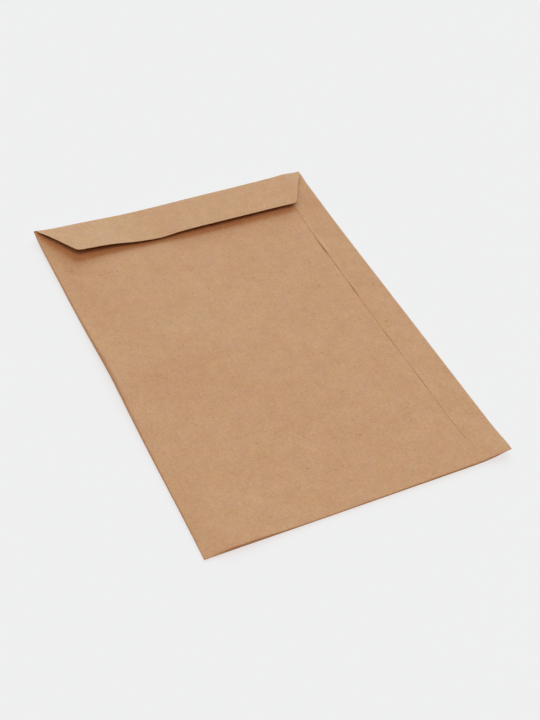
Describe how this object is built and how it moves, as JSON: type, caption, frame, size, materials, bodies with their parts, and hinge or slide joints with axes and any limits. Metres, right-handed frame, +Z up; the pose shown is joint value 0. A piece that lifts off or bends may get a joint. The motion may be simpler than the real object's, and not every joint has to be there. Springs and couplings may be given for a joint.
{
  "type": "paper envelope",
  "caption": "Flat pocket envelope folded from one sheet of brown kraft paper, with a lengthwise seam, a glued bottom flap and an open tapered flap folded over the mouth on a short side.",
  "frame": {"origin": "on the table, under the middle of the box around the envelope", "axes": "+X across the envelope towards the side of the lengthwise seam, +Y along it from the bottom fold to the top flap, +Z up out of the seam side"},
  "size_m": [0.229, 0.324, 0.0127],
  "materials": {
    "kraft_paper": "matte"
  },
  "bodies": {
    "root": {"envelope_sheet": "kraft_paper"}
  },
  "joints": []
}
